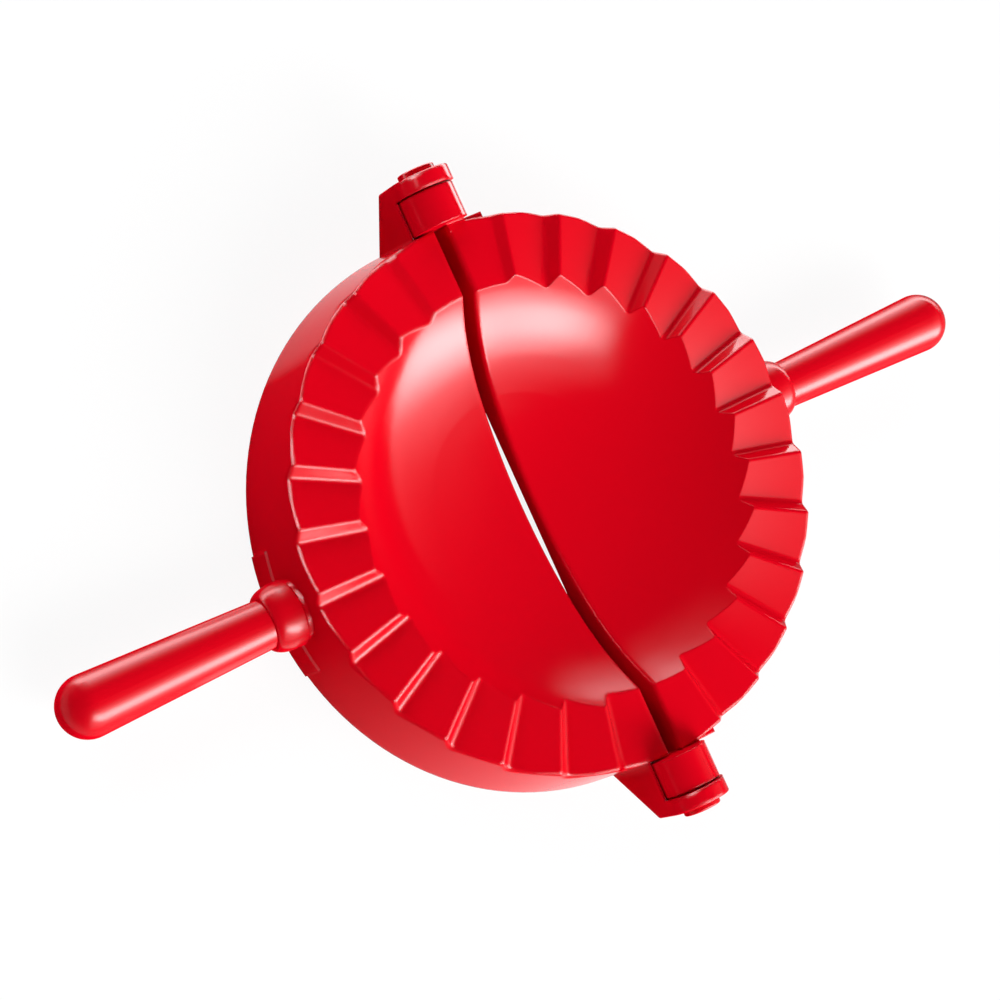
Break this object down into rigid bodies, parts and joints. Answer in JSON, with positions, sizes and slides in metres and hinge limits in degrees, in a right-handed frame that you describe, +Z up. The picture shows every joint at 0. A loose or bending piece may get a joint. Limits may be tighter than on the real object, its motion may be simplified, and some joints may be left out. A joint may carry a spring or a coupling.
{
  "type": "empanada press",
  "caption": "Round hinged press for stuffed dough: two half dishes with pleated crimping rims that fold together, a rod handle on each half.",
  "frame": {"origin": "centre of the open press on the table, under the middle of the hinge line", "axes": "+X from the fixed half's handle to the folding half's handle, +Y along the hinge line to the rear hinge, +Z up"},
  "size_m": [0.231, 0.1468, 0.0293],
  "materials": {
    "red_plastic": "glossy moulded red plastic"
  },
  "bodies": {
    "fixed_half": {"left_shell": "red_plastic", "left_collar": "red_plastic", "left_handle": "red_plastic", "rear_pin": "red_plastic", "front_pin": "red_plastic"},
    "folding_half": {"right_shell": "red_plastic", "right_collar": "red_plastic", "right_handle": "red_plastic"}
  },
  "joints": [
    {"name": "fold_hinge", "type": "hinge", "parent": "fixed_half", "child": "folding_half", "pos_m": [0, 0, 0.0226], "axis": [0, -1, 0], "range_deg": [0, 180]}
  ]
}
